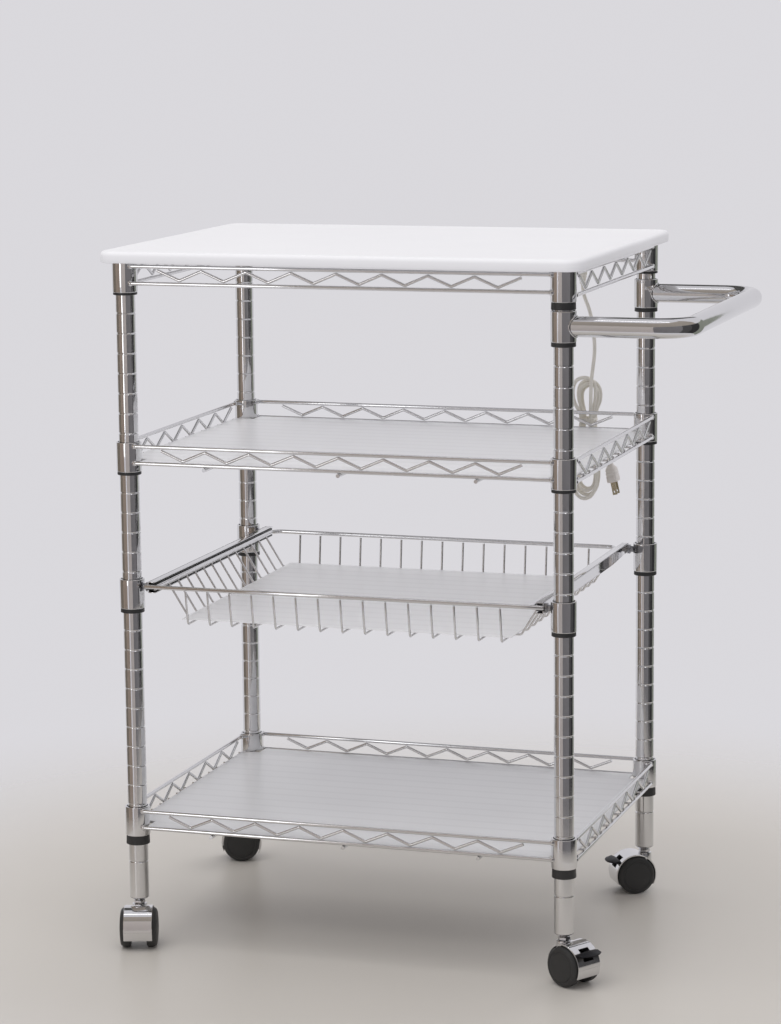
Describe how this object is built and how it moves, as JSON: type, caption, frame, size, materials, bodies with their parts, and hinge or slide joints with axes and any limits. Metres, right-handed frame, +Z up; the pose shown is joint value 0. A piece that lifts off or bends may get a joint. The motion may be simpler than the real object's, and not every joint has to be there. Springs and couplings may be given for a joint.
{
  "type": "kitchen cart",
  "caption": "Chrome wire-shelf kitchen cart with a white worktop, pull-out wire basket, push handle, hooded swivel casters and a mains lead in a hank.",
  "frame": {"origin": "on the floor, under the middle of the cart's overall width and depth", "axes": "+Z up, +X towards the push handle, -Y towards the front, which the basket slides out of"},
  "size_m": [0.7911, 0.5281, 0.901],
  "materials": {
    "chrome": "bright plated",
    "worktop_white": "smooth white",
    "frosted_sheet": "frosted, translucent",
    "black_plastic": "fine matte",
    "wheel_black": "satin",
    "cord_white": "soft off-white",
    "plug_white": "soft off-white",
    "blade_metal": "bright",
    "outlet_white": "plain",
    "zinc": "zinc plated"
  },
  "bodies": {
    "cart": {"post_front_left": "chrome", "post_front_right": "chrome", "post_back_left": "chrome", "post_back_right": "chrome", "post_caps": "black_plastic", "caster_sockets": "zinc", "caster_stems": "zinc", "split_sleeves": "black_plastic", "worktop": "worktop_white", "top_frame_collars": "chrome", "top_frame_trusses": "chrome", "upper_shelf_collars": "chrome", "upper_shelf_trusses": "chrome", "upper_shelf_mat": "chrome", "upper_shelf_sheet": "frosted_sheet", "bottom_shelf_collars": "chrome", "bottom_shelf_trusses": "chrome", "bottom_shelf_mat": "chrome", "bottom_shelf_sheet": "frosted_sheet", "drawer_collars": "chrome", "runner_channels": "chrome", "runner_studs": "zinc", "runner_nuts": "zinc", "push_handle": "chrome", "outlet_box": "outlet_white", "outlet_cover": "outlet_white", "cord_gland": "cord_white", "cord_drop": "cord_white", "cord_hank": "cord_white", "cord_tail": "cord_white", "cord_tie": "cord_white", "plug_body": "plug_white", "plug_blades": "blade_metal"},
    "drawer": {"basket_rim": "chrome", "basket_long_wires": "chrome", "basket_cross_wires": "chrome", "basket_slides": "chrome", "slide_liners": "black_plastic", "basket_sheet": "frosted_sheet"},
    "caster_front_left": {"caster_hood_front_left": "chrome", "caster_axle_front_left": "zinc"},
    "wheel_front_left_a": {"caster_wheel_front_left_a": "wheel_black"},
    "wheel_front_left_b": {"caster_wheel_front_left_b": "wheel_black"},
    "caster_front_right": {"caster_hood_front_right": "chrome", "caster_axle_front_right": "zinc"},
    "wheel_front_right_a": {"caster_wheel_front_right_a": "wheel_black"},
    "wheel_front_right_b": {"caster_wheel_front_right_b": "wheel_black"},
    "lever_front_right": {"brake_lever_front_right": "black_plastic"},
    "caster_back_left": {"caster_hood_back_left": "chrome", "caster_axle_back_left": "zinc"},
    "wheel_back_left_a": {"caster_wheel_back_left_a": "wheel_black"},
    "wheel_back_left_b": {"caster_wheel_back_left_b": "wheel_black"},
    "lever_back_left": {"brake_lever_back_left": "black_plastic"},
    "caster_back_right": {"caster_hood_back_right": "chrome", "caster_axle_back_right": "zinc"},
    "wheel_back_right_a": {"caster_wheel_back_right_a": "wheel_black"},
    "wheel_back_right_b": {"caster_wheel_back_right_b": "wheel_black"},
    "lever_back_right": {"brake_lever_back_right": "black_plastic"}
  },
  "joints": [
    {"name": "drawer_slide", "type": "slide", "parent": "cart", "child": "drawer", "axis": [0, -1, 0], "range_m": [0, 0.3]},
    {"name": "swivel_front_left", "type": "hinge", "parent": "cart", "child": "caster_front_left", "pos_m": [-0.338, -0.205, 0.045], "axis": [0, 0, 1], "continuous": true},
    {"name": "spin_front_left_a", "type": "hinge", "parent": "caster_front_left", "child": "wheel_front_left_a", "pos_m": [-0.33275, -0.22117, 0.0255], "axis": [0.9511, 0.309, 0], "continuous": true},
    {"name": "spin_front_left_b", "type": "hinge", "parent": "caster_front_left", "child": "wheel_front_left_b", "pos_m": [-0.33275, -0.22117, 0.0255], "axis": [0.9511, 0.309, 0], "continuous": true},
    {"name": "swivel_front_right", "type": "hinge", "parent": "cart", "child": "caster_front_right", "pos_m": [0.232, -0.205, 0.045], "axis": [0, 0, 1], "continuous": true},
    {"name": "spin_front_right_a", "type": "hinge", "parent": "caster_front_right", "child": "wheel_front_right_a", "pos_m": [0.24657, -0.21376, 0.0255], "axis": [0.515, 0.8572, 0], "continuous": true},
    {"name": "spin_front_right_b", "type": "hinge", "parent": "caster_front_right", "child": "wheel_front_right_b", "pos_m": [0.24657, -0.21376, 0.0255], "axis": [0.515, 0.8572, 0], "continuous": true},
    {"name": "brake_front_right", "type": "hinge", "parent": "caster_front_right", "child": "lever_front_right", "pos_m": [0.25941, -0.22147, 0.0372], "axis": [0.515, 0.8572, 0], "range_deg": [0, 15]},
    {"name": "swivel_back_left", "type": "hinge", "parent": "cart", "child": "caster_back_left", "pos_m": [-0.338, 0.215, 0.045], "axis": [0, 0, 1], "continuous": true},
    {"name": "spin_back_left_a", "type": "hinge", "parent": "caster_back_left", "child": "wheel_back_left_a", "pos_m": [-0.35417, 0.20975, 0.0255], "axis": [0.309, -0.9511, 0], "continuous": true},
    {"name": "spin_back_left_b", "type": "hinge", "parent": "caster_back_left", "child": "wheel_back_left_b", "pos_m": [-0.35417, 0.20975, 0.0255], "axis": [0.309, -0.9511, 0], "continuous": true},
    {"name": "brake_back_left", "type": "hinge", "parent": "caster_back_left", "child": "lever_back_left", "pos_m": [-0.36841, 0.20512, 0.0372], "axis": [0.309, -0.9511, 0], "range_deg": [0, 15]},
    {"name": "swivel_back_right", "type": "hinge", "parent": "cart", "child": "caster_back_right", "pos_m": [0.232, 0.215, 0.045], "axis": [0, 0, 1], "continuous": true},
    {"name": "spin_back_right_a", "type": "hinge", "parent": "caster_back_right", "child": "wheel_back_right_a", "pos_m": [0.21758, 0.20599, 0.0255], "axis": [0.5299, -0.848, 0], "continuous": true},
    {"name": "spin_back_right_b", "type": "hinge", "parent": "caster_back_right", "child": "wheel_back_right_b", "pos_m": [0.21758, 0.20599, 0.0255], "axis": [0.5299, -0.848, 0], "continuous": true},
    {"name": "brake_back_right", "type": "hinge", "parent": "caster_back_right", "child": "lever_back_right", "pos_m": [0.20489, 0.19806, 0.0372], "axis": [0.5299, -0.848, 0], "range_deg": [0, 15]}
  ]
}
